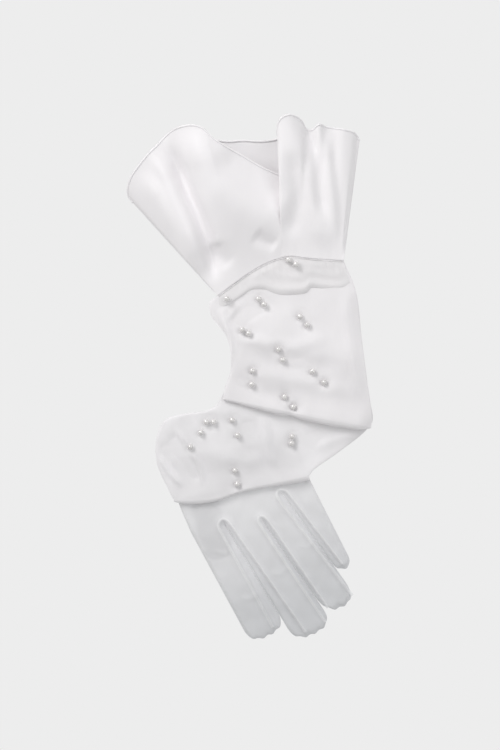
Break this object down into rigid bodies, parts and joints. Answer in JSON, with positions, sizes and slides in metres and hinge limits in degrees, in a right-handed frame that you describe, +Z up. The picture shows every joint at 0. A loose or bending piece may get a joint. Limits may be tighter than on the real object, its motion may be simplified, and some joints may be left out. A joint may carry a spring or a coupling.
{
  "type": "opera glove",
  "caption": "Long sheer bridal glove with a gathered satin cuff and pearl beads, laid flat and folded in a zigzag so it takes up little room.",
  "frame": {"origin": "centre of the footprint at table level, under the middle of the folded glove", "axes": "+Y runs from the fingertips to the cuff's hem, +Z up from the table, +X to the side of the little finger"},
  "size_m": [0.1712, 0.3616, 0.0244],
  "materials": {
    "organza": "sheer white organza in two or more plies, soft satin sheen",
    "hand_organza": "sheer cool white organza, two plies",
    "satin": "smooth duchess satin with a soft gloss",
    "pearl": "glossy imitation pearl with a nacre sheen",
    "thread": "fine polyester sewing thread",
    "elastic": "woven flat elastic"
  },
  "bodies": {
    "hand": {"hand_back_panel": "hand_organza", "hand_palm_panel": "hand_organza", "hand_seam_allowance": "hand_organza"},
    "thumb": {"thumb_back_panel": "hand_organza", "thumb_palm_panel": "hand_organza"},
    "index": {"index_back_panel": "hand_organza", "index_palm_panel": "hand_organza", "index_inner_fourchette": "hand_organza"},
    "middle": {"middle_back_panel": "hand_organza", "middle_palm_panel": "hand_organza", "middle_outer_fourchette": "hand_organza", "middle_inner_fourchette": "hand_organza"},
    "ring": {"ring_back_panel": "hand_organza", "ring_palm_panel": "hand_organza", "ring_outer_fourchette": "hand_organza", "ring_inner_fourchette": "hand_organza"},
    "little": {"little_back_panel": "hand_organza", "little_palm_panel": "hand_organza", "little_outer_fourchette": "hand_organza"},
    "wrist_fold": {"wrist_fold_top_panel": "organza", "wrist_fold_under_panel": "organza"},
    "forearm": {"forearm_top_panel": "organza", "forearm_under_panel": "organza", "forearm_seam_allowance": "organza", "forearm_pearls": "pearl", "forearm_pearl_threads": "thread"},
    "arm_fold": {"arm_fold_top_panel": "organza", "arm_fold_under_panel": "organza"},
    "upper_arm": {"upper_arm_top_panel": "organza", "upper_arm_under_panel": "organza", "upper_arm_seam_allowance": "organza", "header_pearls": "pearl", "header_pearl_threads": "thread", "upper_arm_pearls": "pearl", "upper_arm_pearl_threads": "thread", "arm_header": "organza", "arm_elastic": "elastic"},
    "cuff": {"cuff_top_panel": "satin", "cuff_under_panel": "satin", "cuff_top_hem": "satin", "cuff_under_hem": "satin"}
  },
  "joints": [
    {"name": "wrist_unfold", "type": "hinge", "parent": "hand", "child": "wrist_fold", "pos_m": [-0.01193, -0.04854, 0.0025], "axis": [-0.9848, -0.1736, 0], "range_deg": [0, 180]},
    {"name": "wrist_return", "type": "hinge", "parent": "wrist_fold", "child": "forearm", "pos_m": [-0.00609, -0.07594, 0.0038], "axis": [0.9848, 0.1736, 0], "range_deg": [0, 180]},
    {"name": "arm_unfold", "type": "hinge", "parent": "forearm", "child": "arm_fold", "pos_m": [0.03704, 0.01869, 0.0051], "axis": [-0.9816, 0.1908, 0], "range_deg": [0, 180]},
    {"name": "arm_return", "type": "hinge", "parent": "arm_fold", "child": "upper_arm", "pos_m": [0.03296, -0.0233, 0.0064], "axis": [0.9816, -0.1908, 0], "range_deg": [0, 180]},
    {"name": "cuff_turn_up", "type": "hinge", "parent": "upper_arm", "child": "cuff", "pos_m": [0.0215, 0.07, 0.0078], "axis": [0.9632, 0.2689, 0], "range_deg": [0, 90]},
    {"name": "thumb_swing", "type": "hinge", "parent": "hand", "child": "thumb", "pos_m": [-0.03651, -0.07092, 0], "axis": [0, 0, -1], "range_deg": [0, 50]},
    {"name": "index_lift", "type": "hinge", "parent": "hand", "child": "index", "pos_m": [-0.02899, -0.10518, 0.0024], "axis": [-0.8942, -0.4478, 0], "range_deg": [0, 80]},
    {"name": "middle_lift", "type": "hinge", "parent": "hand", "child": "middle", "pos_m": [-0.00361, -0.10141, 0.0024], "axis": [-0.8942, -0.4478, 0], "range_deg": [0, 80]},
    {"name": "ring_lift", "type": "hinge", "parent": "hand", "child": "ring", "pos_m": [0.01635, -0.0903, 0.0024], "axis": [-0.8942, -0.4478, 0], "range_deg": [0, 80]},
    {"name": "little_lift", "type": "hinge", "parent": "hand", "child": "little", "pos_m": [0.03284, -0.07645, 0.0024], "axis": [-0.8942, -0.4478, 0], "range_deg": [0, 80]}
  ],
  "couplings": [
    {"joint": "wrist_return", "follows": "wrist_unfold", "ratio": 1},
    {"joint": "arm_return", "follows": "arm_unfold", "ratio": 1}
  ]
}
